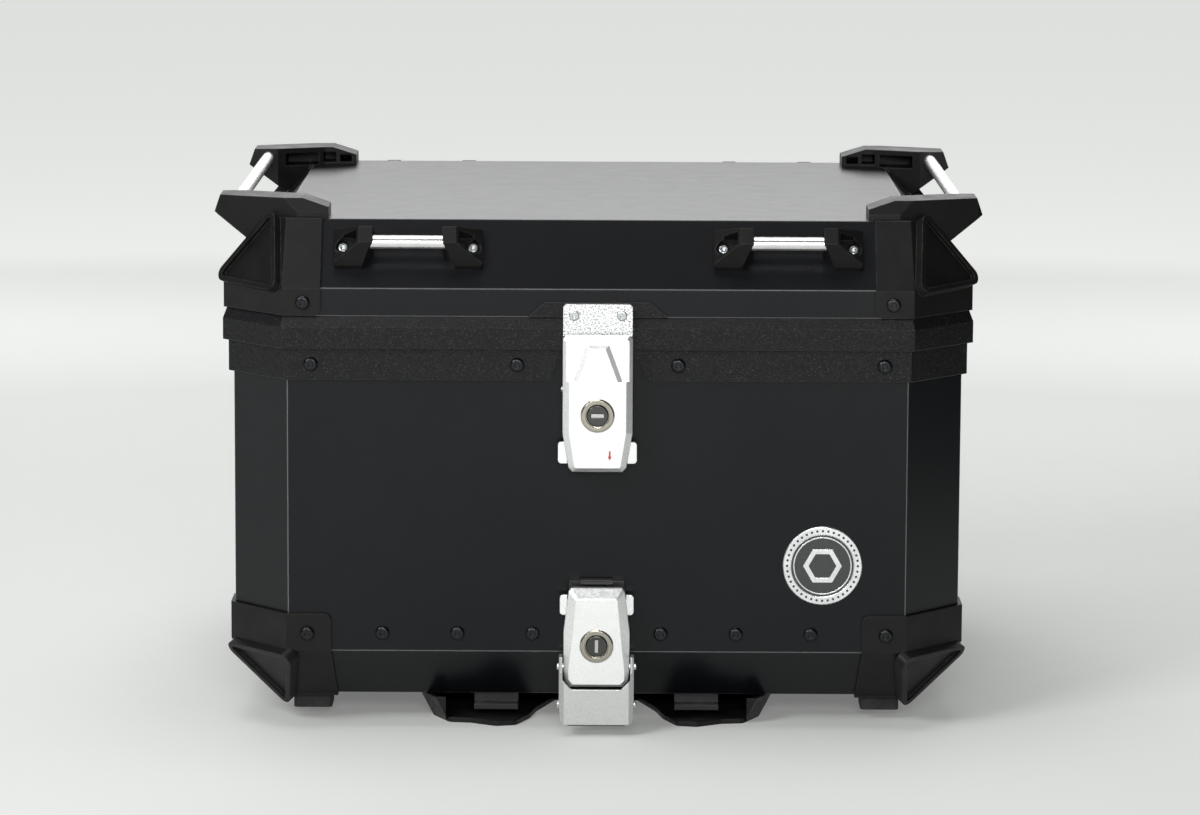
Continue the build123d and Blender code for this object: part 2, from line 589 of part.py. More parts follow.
def make_upper_latch():
    front, back = UPPER_FRONT_Y, -200.8
    outer = [(14.6, 158.3), (16.9, 160.8), (20.5, 181.0), (20.5, 236.8), (18.6, 239.0)]
    face = [(12.8, 161.0), (13.6, 162.2), (16.7, 181.6), (16.7, 234.4), (15.9, 235.4)]
    inner = [(13.4, 160.8), (14.4, 162.0), (17.6, 181.4), (17.6, 237.0)]
    lever = lever_shell(outer, face, inner, front, back)
    # the upper half is sunk around an A-shaped raised panel with sloping sides
    sunk_depth = 1.5
    sunk = block(-30, 30, front - 1, front + sunk_depth, 212.0, 242.0)
    raised = loft([front_outline([(12.0, 211.0), (4.5, 231.4)], front - 0.01),
                   front_outline([(15.0, 211.0), (6.6, 233.6)], front + sunk_depth)], ruled=True)
    lever -= sunk - raised
    # room for the collar steps and for the turn about the pivot
    top_clear = block(-30, 30, -206.6, -190, 225.0, 245.0)
    top_clear += block(-30, 30, -203.4, -190, 216.0, 225.0)
    lever -= top_clear
    lever -= block(-30, 30, UPPER_PIVOT_Y - 0.4, -190, UPPER_PIVOT_Z + 2.6, 245.0)
    lever -= block(-30, 30, -209.9, -190, 157.6, 175.8)
    lever -= rod_x(PIN_RADIUS + PIN_CLEARANCE, -30, 30, UPPER_PIVOT_Y, UPPER_PIVOT_Z)
    lever -= rod_x(PIN_RADIUS, -30, 0, CLAW_PIVOT_Y, CLAW_PIVOT_Z)
    lever -= make_lock("upper", front, UPPER_LOCK_Z, 0)
    lever += make_release("upper", 162.4, 175.2, 23.2, 17.6, -1, -209.4)
    parts["upper_lever"] = lever
    parts["upper_lever_rivet"] = rod_x(PIN_RADIUS, -21.4, -17.8, CLAW_PIVOT_Y, CLAW_PIVOT_Z)
    parts["upper_claw_pin"] = rod_x(PIN_RADIUS, -16.2, 16.2, CLAW_PIVOT_Y, CLAW_PIVOT_Z)
    claw_top = LIP_LOW_Z + 5.2
    claw = rod_x(3.0, -8.5, 8.5, CLAW_PIVOT_Y, CLAW_PIVOT_Z)
    claw += block(-8.5, 8.5, -212.2, -210.2, CLAW_PIVOT_Z, claw_top)
    claw += block(-8.5, 8.5, -210.2, -209.2, claw_top - 2.4, claw_top)
    claw -= rod_x(PIN_RADIUS + PIN_CLEARANCE, -30, 30, CLAW_PIVOT_Y, CLAW_PIVOT_Z)
    parts["upper_claw"] = claw
    base = block(-16.2, 16.2, -200.4, BODY_FRONT, 156.8, 222.4)
    base += block(-5.0, 5.0, -204.4, -200.4, 162.8, 164.8)
    cheek = side_prism([(-200.0, 182.0), (-200.0, 222.4), (-205.0, 226.0), (-209.6, 233.0),
                        (-211.2, 236.6), (-213.8, 236.6), (-215.2, 234.2), (-214.8, 228.0),
                        (-213.8, 205.0), (-206.0, 190.0)], 12.8, 16.2)
    base += both_sides(cheek)
    base -= rod_x(PIN_RADIUS, -30, 30, CLAW_PIVOT_Y, CLAW_PIVOT_Z)
    parts["upper_latch_base"] = base - rod_x(PIN_RADIUS, -30, 30, UPPER_PIVOT_Y, UPPER_PIVOT_Z)


def make_lower_latch():
    front, back = LOWER_FRONT_Y, -200.4
    outer = [(15.6, 29.2), (18.4, 32.4), (19.4, 38.0), (19.5, 62.0), (16.6, 86.2), (14.9, 88.4)]
    face = [(14.2, 31.2), (16.4, 34.0), (16.6, 38.6), (14.0, 62.0), (12.2, 81.6), (11.4, 82.4)]
    inner = [(14.2, 31.6), (16.2, 34.6), (16.4, 39.4), (16.3, 62.0), (13.6, 85.9)]
    lever = lever_shell(outer, face, inner, front, back)
    lever -= block(-30, 30, LOWER_PIVOT_Y + 5.4, -190, 20.0, 52.0)
    lever -= block(-30, 30, LOWER_PIVOT_Y - 0.4, -190, 20.0, LOWER_PIVOT_Z - 2.6)
    lever -= block(-30, 30, -208.1, -190, 70.9, 90.6)
    lever -= rod_x(PIN_RADIUS + PIN_CLEARANCE, -30, 30, LOWER_PIVOT_Y, LOWER_PIVOT_Z)
    lever -= rod_x(2.0, -30, 30, STIRRUP_PIVOT_Y, STIRRUP_PIVOT_Z)
    lever -= make_lock("lower", front, LOWER_LOCK_Z, 90)
    lever += make_release("lower", 71.4, 83.4, 21.8, 17.4, 1, -207.6)
    parts["lower_lever"] = lever
    base = block(-16.2, 16.2, -200.2, BODY_FRONT, BEND_Z, 90.6)
    base += block(-9.6, 9.6, -206.0, -200.2, 89.4, 92.2)
    base += block(-5.0, 5.0, -202.6, -200.2, 81.1, 82.9)
    cheek = side_prism([(-199.5, 64.0), (-206.0, 60.0), (-211.1, 36.0), (-210.2, 32.2),
                        (-207.6, 31.8), (-199.5, 44.0)], 10.8, 14.2)
    base += both_sides(cheek)
    body_space = taper(floor_outline(0), FLOOR_Z, body_outline(0), BEND_Z)
    base -= body_space
    parts["lower_latch_base"] = base - rod_x(PIN_RADIUS, -30, 30, LOWER_PIVOT_Y, LOWER_PIVOT_Z)
    stirrup_pin_r = 2.0
    pins = both_sides(rod_x(stirrup_pin_r, 16.9, 23.4, STIRRUP_PIVOT_Y, STIRRUP_PIVOT_Z))
    parts["lower_stirrup_pins"] = group(pins)


def make_stirrup():
    front, sheet, half = -217.6, 2.1, 22.2
    low, high = 7.1, 47.5
    pin_y, pin_z = -206.5, 17.4
    outline = Polygon(*mirrored_points([(21.6, low), (half, 20.0), (half, high)]), align=None)
    outline = fillet(outline.vertices().sort_by(Axis.Y)[:2], 3.0)
    plane = Plane(origin=(0, 0, 0), x_dir=(1, 0, 0), z_dir=(0, -1, 0))
    channel = pull(plane, outline, -front) - block(-60, 60, -203.2, 10, 0, 60)
    channel -= block(-half + sheet, half - sheet, front + sheet, -200, 0, 60)
    bevelled = [(half, -200.0), (half, front + 3.0), (half - 3.0, front)]
    channel &= prism(Polygon(*mirrored_points(bevelled), align=None), 0, 60)
    top_cut = mirrored_points([(14.6, 28.3), (half - sheet, 33.8), (half - sheet, 60.0)])
    channel -= front_prism(top_cut, front - 1, -200)
    channel -= block(-60, 60, STIRRUP_PIVOT_Y + 5.0, -200, 28.0, 60)
    channel -= block(-60, 60, front - 1, STIRRUP_PIVOT_Y - 4.6, 38.0, 60)
    channel -= rod_x(2.0 + PIN_CLEARANCE, -60, 60, STIRRUP_PIVOT_Y, STIRRUP_PIVOT_Z)
    return channel + rod_x(2.5, -23.3, 23.3, pin_y, pin_z)


# ---- hinges -------------------------------------------------------------------------------------
def make_hinges():
    body_leaves, lid_leaves, pins = [], [], []
    back = -COLLAR_HIGH_FRONT
    lid_back = -LID_FRONT
    bore = HINGE_PIN_RADIUS + PIN_CLEARANCE
    for x in (-HINGE_X, HINGE_X):
        leaf = block(x - 25, x + 25, back, back + 2.0, 214.5, 243.5)
        for x0, x1 in ((x - 25, x - 9), (x + 9, x + 25)):
            leaf += rod_x(KNUCKLE_RADIUS, x0, x1, HINGE_Y, HINGE_Z)
            leaf += block(x0, x1, back, HINGE_Y, HINGE_Z - KNUCKLE_RADIUS, HINGE_Z)
        leaf -= rod_x(HINGE_PIN_RADIUS, x - 40, x + 40, HINGE_Y, HINGE_Z)
        body_leaves.append(leaf)
        leaf = block(x - 25, x + 25, lid_back, lid_back + 3.4, 252.4, 263.6)
        leaf += rod_x(KNUCKLE_RADIUS, x - 8.7, x + 8.7, HINGE_Y, HINGE_Z)
        leaf += block(x - 8.7, x + 8.7, lid_back, HINGE_Y, HINGE_Z + 0.3, HINGE_Z + KNUCKLE_RADIUS)
        leaf -= rod_x(bore, x - 40, x + 40, HINGE_Y, HINGE_Z)
        lid_leaves.append(leaf)
        pins.append(rod_x(HINGE_PIN_RADIUS, x - 26, x + 26, HINGE_Y, HINGE_Z))
    hole = screw_hole(1.9)
    body_leaves = [drill(leaf, hinge_body_screw_places, hole) for leaf in body_leaves]
    lid_leaves = [drill(leaf, hinge_lid_screw_places, hole) for leaf in lid_leaves]
    parts["hinge_body_leaves"] = group(body_leaves)
    parts["hinge_lid_leaves"] = group(lid_leaves)
    parts["hinge_pins"] = group(pins)


# ---- mounting plate -----------------------------------------------------------------------------
SLOT_X, SLOT_Y = 50.0, 60.0
SLOT_RADIUS, SLOT_LENGTH = 3.3, 26.0
STRIKE_FRONT = -203.0
TONGUE_FRONT = -187.0


def make_mounting_plate():
    half = [(17.0, TONGUE_FRONT), (17.0, -118.0), (25.0, -113.0), (36.0, -146.0),
            (40.0, -166.0), (48.0, -186.0), (60.0, -189.0), (75.0, -180.0), (88.0, -178.0),
            (98.0, -158.0), (104.0, -86.0), (104.0, 140.0), (88.0, 156.0)]
    outline = Polygon(*half, *[(-x, y) for x, y in reversed(half)], align=None)
    soft = [v for v in outline.vertices() if v.Y < -140 and abs(v.X) > 30]
    outline = fillet(soft, 4.0)
    plate = prism(outline, 0, PLATE_FLOOR)
    hull = [(88.0, -178.0), (98.0, -158.0), (104.0, -86.0), (104.0, 140.0), (88.0, 156.0)]

    def tray(grow):
        points = [(x + grow, y - grow * 0.3) for x, y in hull[:2]]
        points += [(x + grow, y) for x, y in hull[2:4]]
        points += [(x + grow * 0.5, y + grow) for x, y in hull[4:]]
        return Polygon(*points, *[(-x, y) for x, y in reversed(points)], align=None)

    wall = taper(tray(0), 0, tray(8), PLATE_RIM_Z) - taper(tray(-3), 0, tray(5), PLATE_RIM_Z)
    wall -= block(-90, 90, -200, -120, -1, 40)
    plate += wall
    for x in (-84.0, -28.0, 28.0, 84.0):
        plate += block(x - 1.5, x + 1.5, -105.0, 150.0, 0, PLATE_RIM_Z)
    for y in (-100.0, 0.0, 100.0):
        plate += block(-103.0, 103.0, y - 1.5, y + 1.5, 0, PLATE_RIM_Z)
    slot = SlotOverall(SLOT_LENGTH, SLOT_RADIUS * 2)
    for x in (-SLOT_X, SLOT_X):
        for y in (-SLOT_Y, SLOT_Y):
            plate -= prism(Pos(x, y) * slot, -1, PLATE_FLOOR + 1)
    return plate


def make_plate_strike():
    """Steel strike on the plate's front tongue, which the stirrup's cross pin pulls up on."""
    strike = block(-16.0, 16.0, TONGUE_FRONT, TONGUE_FRONT + 3.0, PLATE_FLOOR, 12.0)
    strike += block(-16.0, 16.0, STRIKE_FRONT, TONGUE_FRONT, 9.0, 12.0)
    strike += block(-16.0, 16.0, STRIKE_FRONT, STRIKE_FRONT + 4.0, 12.0, 23.0)
    return strike + block(-16.0, 16.0, STRIKE_FRONT - 5.6, STRIKE_FRONT, 20.4, 23.0)


def make_dock_tongues():
    hooks = []
    for y, lip in ((-158.0, -1), (120.0, -1)):
        stem = block(47.0, 73.4, y - 3.0, y + 3.0, 6.2, FLOOR_Z)
        foot = block(47.0, 73.4, *sorted((y, y + lip * 12.0)), 6.2, 9.6)
        hooks.append(stem + foot)
    return group([copy for hook in hooks for copy in both_sides(hook)])


# ---- badge --------------------------------------------------------------------------------------
def make_badge():
    x, z = 133.6, 100.0
    parts["badge_disc"] = rod_y(18.4, BODY_FRONT - 0.8, BODY_FRONT, x, z)
    rim = rod_y(23.5, BODY_FRONT - 1.4, BODY_FRONT, x, z)
    rim -= rod_y(18.4, BODY_FRONT - 5, BODY_FRONT + 5, x, z)
    rim = chamfer(rim.edges().filter_by(GeomType.CIRCLE).group_by(Axis.Y)[0], 0.5)
    place = front_place(x, BODY_FRONT - 0.8, z)
    hexagon = RegularPolygon(11.5, 6) - RegularPolygon(8.2, 6)
    thin_ring = Circle(17.3) - Circle(16.6)
    parts["badge_ring"] = group([rim, pull(place, hexagon, 0.6), pull(place, thin_ring, 0.3)])


# ---- build everything ---------------------------------------------------------------------------
parts["body_shell"] = make_body()
parts["floor_pan"] = make_pan()
mat_low = FLOOR_Z + SHEET + PAN_SHEET
parts["floor_mat"] = prism(floor_outline(-6), mat_low, mat_low + 3.0)
parts["body_collar"] = make_collar()
parts["lid_seal"] = ring(-0.3, -2.7, COLLAR_TOP_Z - 3.8, COLLAR_TOP_Z + 0.3)
four_corners("bottom_corner", make_bottom_corner())
foot = block(159.0, 182.0, -165.0, -139.0, 6.0, CORNER_LOW_Z)
foot = fillet(foot.edges().filter_by(Axis.Z), 3.0)
parts["corner_feet"] = group(front_and_back(both_sides(foot)))
parts["dock_tongues"] = make_dock_tongues()
parts["collar_screws"] = group(place_all(collar_places, button_screw(shank=7.0))
                               + place_all(hinge_body_screw_places,
                                           button_screw(3.6, 2.0, 1.9, 5.5)))
parts["skirt_bolts"] = group(place_all(skirt_places, button_screw(shank=5.0))
                             + place_all(corner_bolt_places, button_screw(shank=7.6)))
make_badge()

parts["lid_shell"] = make_lid_shell()
parts["lid_rim"] = make_lid_rim()
four_corners("lid_corner", make_lid_corner())
parts["lid_screws"] = group(place_all(lid_corner_places, button_screw(shank=6.5))
                            + place_all(hinge_lid_screw_places,
                                        button_screw(3.6, 2.0, 1.9, 6.5)))
four_corners("rail_bracket", make_rail_bracket())
rail = rod_y(RAIL_RADIUS, -140.9, 140.9, RAIL_X, RAIL_Z)
parts["side_rail_right"], parts["side_rail_left"] = both_sides(rail)
handle_holes = make_handles()
for handle_hole in handle_holes:
    parts["lid_shell"] -= handle_hole
make_keeper()
make_upper_latch()
make_lower_latch()
parts["lower_stirrup"] = make_stirrup()
pivot_pins = both_sides(rod_x(PIN_RADIUS, 12.8, 20.3, UPPER_PIVOT_Y, UPPER_PIVOT_Z))
pivot_pins += both_sides(rod_x(PIN_RADIUS, 10.8, 17.2, LOWER_PIVOT_Y, LOWER_PIVOT_Z))
parts["latch_pivot_pins"] = group(pivot_pins)
make_hinges()
parts["mounting_plate"] = make_mounting_plate()
parts["plate_strike"] = make_plate_strike()

os.makedirs("parts", exist_ok=True)
for node, shape in parts.items():
    export_step(shape, "parts/" + node + ".step")
print(len(parts), "nodes written")
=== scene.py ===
import json
from math import cos, pi, radians, sin

import bmesh
import bpy
from mathutils import Matrix, Vector


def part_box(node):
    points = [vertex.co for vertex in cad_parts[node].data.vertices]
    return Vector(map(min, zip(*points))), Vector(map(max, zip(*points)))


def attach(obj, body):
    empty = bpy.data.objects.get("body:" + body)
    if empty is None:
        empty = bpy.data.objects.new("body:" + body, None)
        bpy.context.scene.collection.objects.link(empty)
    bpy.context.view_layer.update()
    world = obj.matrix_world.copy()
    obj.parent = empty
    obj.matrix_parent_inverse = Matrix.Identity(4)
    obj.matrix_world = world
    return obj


# A hard aluminium motorcycle top case: finishes, small trims, studio and camera.
# All lengths are in metres, in the frame of the CAD model.

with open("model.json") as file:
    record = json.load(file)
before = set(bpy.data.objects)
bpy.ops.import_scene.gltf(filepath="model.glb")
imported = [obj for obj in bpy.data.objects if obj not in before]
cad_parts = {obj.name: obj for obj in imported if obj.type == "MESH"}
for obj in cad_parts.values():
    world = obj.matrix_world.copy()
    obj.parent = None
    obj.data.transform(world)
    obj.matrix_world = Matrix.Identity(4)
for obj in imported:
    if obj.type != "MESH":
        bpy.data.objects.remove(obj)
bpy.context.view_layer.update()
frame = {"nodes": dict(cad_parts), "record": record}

# ---- studio and camera --------------------------------------------------------------------------
CAMERA_PLACE = (0.0014, -2.9965, 0.6123)
CAMERA_PITCH = 8.5            # degrees down
CAMERA_ROLL = 0.28            # degrees
CAMERA_LENS = 144.0           # mm on a 36 mm wide sensor
FLOOR_COLOUR = (0.55, 0.56, 0.545, 1)
FLOOR_GLOW_COLOUR = (0.98, 1.0, 0.975, 1)
FLOOR_RADIUS = 14.0
GLOW_NEAR, GLOW_FAR = 0.17, 0.64  # light the floor gives off at the object and away from it
GLOW_START, GLOW_END = 1.25, 2.3  # metres from the object
SKY_COLOUR = (0.96, 1.0, 0.985, 1)
SKY_HORIZON, SKY_ABOVE = 0.76, 0.16
SKY_BAND = 0.12               # sine of the height where the bright band over the floor ends
FLAG = (0.95, -0.7, 0.9, 0.9)     # its X, its front and back ends in Y, and its top

# ---- sizes of the small trims -------------------------------------------------------------------
ARROW_PLACE = (0.0072, 0.1684)    # X and Z of the arrow's middle on the upper lever
ARROW_LENGTH = 0.0056
ARROW_HEAD = 0.0024
ARROW_SHAFT = 0.0010
ARROW_THICKNESS = 0.00008
RING_DOTS = 40                     # plain dots round the badge rim
DOT_RADIUS = 0.00075
DOT_THICKNESS = 0.0001
SHUTTER_LENGTH, SHUTTER_WIDTH = 0.0074, 0.0020
SHUTTER_DEPTH, SHUTTER_THICKNESS = 0.00015, 0.0003   # behind the plug's face
SHUTTER_TURN = {"upper": 0, "lower": 90}      # degrees, as the key slots stand


# ---- material building blocks -------------------------------------------------------------------
class Finish:
    """A procedural material, made up step by step in the object's own coordinates."""

    def __init__(self, name, colour, roughness, metallic=0.0, **inputs):
        self.material = bpy.data.materials.new(name)
        self.material.use_nodes = True
        self.nodes = self.material.node_tree.nodes
        self.links = self.material.node_tree.links
        self.shader = self.nodes["Principled BSDF"]
        self.shader.inputs["Base Color"].default_value = (*colour, 1)
        self.shader.inputs["Roughness"].default_value = roughness
        self.shader.inputs["Metallic"].default_value = metallic
        for key, value in inputs.items():
            self.shader.inputs[key.replace("_", " ")].default_value = value
        self.place = self.add("ShaderNodeTexCoord").outputs["Object"]
        self.normal = None

    def add(self, kind, **settings):
        node = self.nodes.new(kind)
        for key, value in settings.items():
            setattr(node, key, value)
        return node

    def feed(self, node, name, value):
        """Give an input a socket to follow, or a plain value."""
        if isinstance(value, bpy.types.NodeSocket):
            self.links.new(value, node.inputs[name])
        else:
            node.inputs[name].default_value = value

    def stretched(self, scale):
        """Coordinates stretched for brushed or drawn surfaces."""
        node = self.add("ShaderNodeMapping")
        self.feed(node, "Vector", self.place)
        node.inputs["Scale"].default_value = scale
        return node.outputs["Vector"]

    def noise(self, scale, detail=2.0, rough=0.5, place=None, distortion=0.0):
        node = self.add("ShaderNodeTexNoise")
        self.feed(node, "Vector", place or self.place)
        node.inputs["Scale"].default_value = scale
        node.inputs["Detail"].default_value = detail
        node.inputs["Roughness"].default_value = rough
        node.inputs["Distortion"].default_value = distortion
        return node.outputs["Fac"]

    def cells(self, scale):
        """Distance to the nearest of many scattered points, for pebbled grain."""
        node = self.add("ShaderNodeTexVoronoi")
        self.feed(node, "Vector", self.place)
        node.inputs["Scale"].default_value = scale
        return node.outputs["Distance"]

    def fit(self, value, low, high, new_low, new_high):
        """Stretch one range of a value to another, and clamp it there."""
        node = self.add("ShaderNodeMapRange")
        self.feed(node, "Value", value)
        limits = {"From Min": low, "From Max": high, "To Min": new_low, "To Max": new_high}
        for name, number in limits.items():
            node.inputs[name].default_value = number
        return node.outputs["Result"]

    def maths(self, operation, a, b):
        node = self.add("ShaderNodeMath", operation=operation)
        for socket, value in zip(node.inputs, (a, b)):
            if isinstance(value, bpy.types.NodeSocket):
                self.links.new(value, socket)
            else:
                socket.default_value = value
        return node.outputs["Value"]

    def mixed(self, share, a, b):
        """A colour between a and b."""
        node = self.add("ShaderNodeMix", data_type="RGBA")
        self.links.new(share, node.inputs["Factor"])
        for socket, value in zip((node.inputs[6], node.inputs[7]), (a, b)):
            if isinstance(value, bpy.types.NodeSocket):
                self.links.new(value, socket)
            else:
                socket.default_value = (*value, 1)
        return node.outputs[2]

    def rounded_edges(self, radius):
        """Shade sharp edges as if they had a small radius."""
        node = self.add("ShaderNodeBevel", samples=6)
        node.inputs["Radius"].default_value = radius
        self.normal = node.outputs["Normal"]

    def edges(self, radius, flat=0.98, sharp=0.80):
        """1 on sharp edges and 0 away from them; shallow bends need limits closer to 1."""
        bevel = self.add("ShaderNodeBevel", samples=6)
        bevel.inputs["Radius"].default_value = radius
        true_normal = self.add("ShaderNodeNewGeometry").outputs["Normal"]
        node = self.add("ShaderNodeVectorMath", operation="DOT_PRODUCT")
        self.links.new(bevel.outputs["Normal"], node.inputs[0])
        self.links.new(true_normal, node.inputs[1])
        return self.fit(node.outputs["Value"], flat, sharp, 0.0, 1.0)

    def bump(self, height, distance, strength=1.0):
        node = self.add("ShaderNodeBump")
        node.inputs["Strength"].default_value = strength
        node.inputs["Distance"].default_value = distance
        self.links.new(height, node.inputs["Height"])
        if self.normal is not None:
            self.links.new(self.normal, node.inputs["Normal"])
        self.normal = node.outputs["Normal"]

    def colour(self, socket):
        self.links.new(socket, self.shader.inputs["Base Color"])

    def roughness(self, socket):
        self.links.new(socket, self.shader.inputs["Roughness"])

    def done(self):
        if self.normal is not None:
            self.links.new(self.normal, self.shader.inputs["Normal"])
        return self.material


# ---- finishes -----------------------------------------------------------------------------------
def powder_coat():
    """Black powder coat on aluminium sheet: orange peel, faint smudges, fine lint, and a painted
    highlight along its bends and edges.
    """
    f = Finish("powder_coat_black", (0.009, 0.0095, 0.0105), 0.36, Specular_IOR_Level=0.12,
               Coat_Roughness=0.24)
    smudge = f.fit(f.noise(9.0, 4.0, 0.6), 0.35, 0.7, 0.0, 1.0)
    speck = f.fit(f.cells(900.0), 0.10, 0.04, 0.0, 1.0)
    sparse = f.fit(f.noise(70.0, 3.0), 0.60, 0.66, 0.0, 1.0)
    dust = f.maths("MULTIPLY", speck, sparse)
    coat = f.mixed(smudge, (0.0030, 0.0034, 0.0048), (0.0048, 0.0052, 0.0066))
    # Painted highlight: bends and edges get a pale colour and a full coat.
    bend_highlight = f.edges(0.0010, 0.999, 0.975)
    coat = f.mixed(bend_highlight, coat, (0.16, 0.165, 0.17))
    f.colour(f.mixed(dust, coat, (0.10, 0.10, 0.10)))
    f.links.new(f.fit(bend_highlight, 0.0, 1.0, 0.22, 1.0), f.shader.inputs["Coat Weight"])
    f.roughness(f.fit(f.noise(60.0, 5.0, 0.65), 0.3, 0.7, 0.345, 0.375))
    f.rounded_edges(0.0018)
    f.bump(f.noise(1100.0, 2.0), 0.00003, 0.5)
    f.bump(f.noise(160.0, 2.0), 0.00006, 0.35)
    return f.done()


def collar_plastic():
    """Pebbled black plastic with glints painted on its grain in points and a painted highlight on
    its edges.
    """
    f = Finish("collar_plastic", (0.012, 0.012, 0.013), 0.5, Specular_IOR_Level=0.22)
    grain = f.cells(1300.0)
    # Painted highlight: scattered pale points stand for glints on the grain.
    glint = f.fit(f.noise(1500.0, 2.0, 0.7), 0.60, 0.72, 0.0, 1.0)
    glinting_grain = f.mixed(glint, (0.0035, 0.0035, 0.0045), (0.070, 0.070, 0.075))
    # Painted highlight: the edges are coloured paler.
    f.colour(f.mixed(f.edges(0.0008), glinting_grain, (0.060, 0.060, 0.064)))
    f.roughness(f.fit(f.noise(600.0, 3.0), 0.35, 0.65, 0.38, 0.60))
    f.rounded_edges(0.0009)
    f.bump(grain, 0.00016, 0.55)
    f.bump(f.noise(420.0, 3.0), 0.00012, 0.4)
    return f.done()


def corner_plastic():
    """Smooth satin black moulding with a faint leather grain and a painted highlight on its edges,
    broken up by noise.
    """
    f = Finish("corner_plastic", (0.014, 0.014, 0.0135), 0.44, Specular_IOR_Level=0.20)
    # Painted highlight: the edges, broken up by noise, are coloured paler.
    corner_edge_highlight = f.maths("MULTIPLY", f.edges(0.0012), f.fit(f.noise(240.0, 4.0), 0.4, 0.7, 0.15, 1.0))
    patch = f.fit(f.noise(30.0, 4.0, 0.6), 0.35, 0.7, 0.0, 1.0)
    moulded = f.mixed(patch, (0.0042, 0.0042, 0.0040), (0.0070, 0.0070, 0.0066))
    f.colour(f.mixed(corner_edge_highlight, moulded, (0.040, 0.040, 0.038)))
    f.roughness(f.fit(f.noise(90.0, 4.0), 0.3, 0.7, 0.40, 0.52))
    f.rounded_edges(0.0009)
    f.bump(f.cells(900.0), 0.00005, 0.35)
    return f.done()


def plate_plastic():
    """Coarse glass-filled black moulding."""
    f = Finish("plate_plastic", (0.012, 0.012, 0.012), 0.5, Specular_IOR_Level=0.25)
    patch = f.fit(f.noise(45.0, 5.0, 0.65), 0.35, 0.7, 0.0, 1.0)
    f.colour(f.mixed(patch, (0.005, 0.005, 0.005), (0.012, 0.012, 0.0115)))
    f.roughness(f.fit(f.noise(200.0, 3.0), 0.3, 0.7, 0.36, 0.56))
    f.rounded_edges(0.0010)
    f.bump(f.noise(700.0, 3.0), 0.0001, 0.4)
    return f.done()


def rubber():
    f = Finish("black_rubber", (0.016, 0.016, 0.016), 0.78)
    bloom = f.fit(f.noise(60.0, 4.0, 0.6), 0.4, 0.75, 0.0, 1.0)
    f.colour(f.mixed(bloom, (0.012, 0.012, 0.012), (0.030, 0.030, 0.029)))
    f.roughness(f.fit(f.noise(300.0, 3.0), 0.3, 0.7, 0.68, 0.86))
    f.rounded_edges(0.0008)
    f.bump(f.noise(900.0, 3.0), 0.0001, 0.35)
    return f.done()


def cast_silver(name, grain_scale, grain_depth, shades):
    """Silver-painted die casting with a sandy grain and painted shade in the hollows of the grain.
    """
    f = Finish(name, (0.75, 0.76, 0.75), 0.38, 0.9)
    grain = f.noise(grain_scale, 3.0, 0.6)
    # Painted shade and highlight: the colour is darker where the grain's bump is low and paler
    # where it is high.
    grain_shading = f.fit(grain, 0.36, 0.56, 0.0, 1.0)
    f.colour(f.mixed(grain_shading, shades[0], shades[1]))
    f.roughness(f.fit(f.noise(grain_scale * 0.4, 3.0), 0.3, 0.7, 0.30, 0.44))
    f.rounded_edges(0.0007)
    f.bump(grain, grain_depth, 0.5)
    return f.done()


def lever_silver():
    return cast_silver("lever_silver", 1500.0, 0.00006, ((0.80, 0.81, 0.80), (0.96, 0.97, 0.96)))


def stirrup_silver():
    return cast_silver("stirrup_silver", 1800.0, 0.00003, ((0.55, 0.56, 0.55), (0.66, 0.67, 0.66)))


def keeper_silver():
    return cast_silver("keeper_silver", 1000.0, 0.00035, ((0.20, 0.20, 0.20), (0.96, 0.97, 0.96)))


def metal(name, colour, low_rough, high_rough, radius, streaks=None):
    """Bare or plated metal; streaks stretch its fine scratches along one direction."""
    f = Finish(name, colour, low_rough, 1.0)
    place = f.stretched(streaks) if streaks else f.place
    fine = f.noise(1400.0, 3.0, 0.6, place)
    cloud = f.fit(f.noise(55.0, 4.0, 0.6), 0.3, 0.7, 0.0, 1.0)
    darker = tuple(c * 0.80 for c in colour)
    f.colour(f.mixed(cloud, darker, colour))
    f.roughness(f.fit(fine, 0.3, 0.7, low_rough, high_rough))
    f.rounded_edges(radius)
    f.bump(fine, 0.00002, 0.35)
    return f.done()


def bright_rod():
    return metal("bright_rod", (0.90, 0.90, 0.895), 0.20, 0.34, 0.0006)


def nickel():
    return metal("warm_nickel", (0.46, 0.43, 0.37), 0.12, 0.26, 0.0004)


def recess_shaded_nickel():
    # Painted shade: the key plug sits in a recess, so its nickel is given a darker colour.
    return metal("recess_shaded_nickel", (0.10, 0.10, 0.095), 0.08, 0.18, 0.0004)


def plain_steel():
    return metal("plain_steel", (0.52, 0.53, 0.55), 0.26, 0.42, 0.0004)


def zinc_screw():
    return metal("zinc_screw", (0.66, 0.68, 0.70), 0.18, 0.32, 0.0004)


def black_screw():
    return metal("black_screw", (0.035, 0.036, 0.038), 0.22, 0.36, 0.0005)


def shutter_steel():
    return metal("shutter_steel", (0.60, 0.60, 0.59), 0.28, 0.42, 0.0002)


def mill_aluminium():
    return metal("mill_aluminium", (0.52, 0.53, 0.54), 0.34, 0.50, 0.0008, (0.15, 1.0, 1.0))


def badge_metal():
    return metal("badge_metal", (0.94, 0.95, 0.96), 0.20, 0.34, 0.0003, (1.0, 1.0, 0.2))


def latch_black():
    f = Finish("latch_black", (0.012, 0.012, 0.012), 0.4)
    # Painted highlight: the edges, broken up by noise, are coloured paler.
    latch_edge_highlight = f.maths("MULTIPLY", f.edges(0.0010), f.fit(f.noise(300.0, 4.0), 0.45, 0.7, 0.0, 1.0))
    f.colour(f.mixed(latch_edge_highlight, (0.011, 0.011, 0.011), (0.055, 0.055, 0.055)))
    f.roughness(f.fit(f.noise(150.0, 4.0), 0.3, 0.7, 0.32, 0.46))
    f.rounded_edges(0.0006)
    f.bump(f.noise(800.0, 2.0), 0.00005, 0.3)
    return f.done()


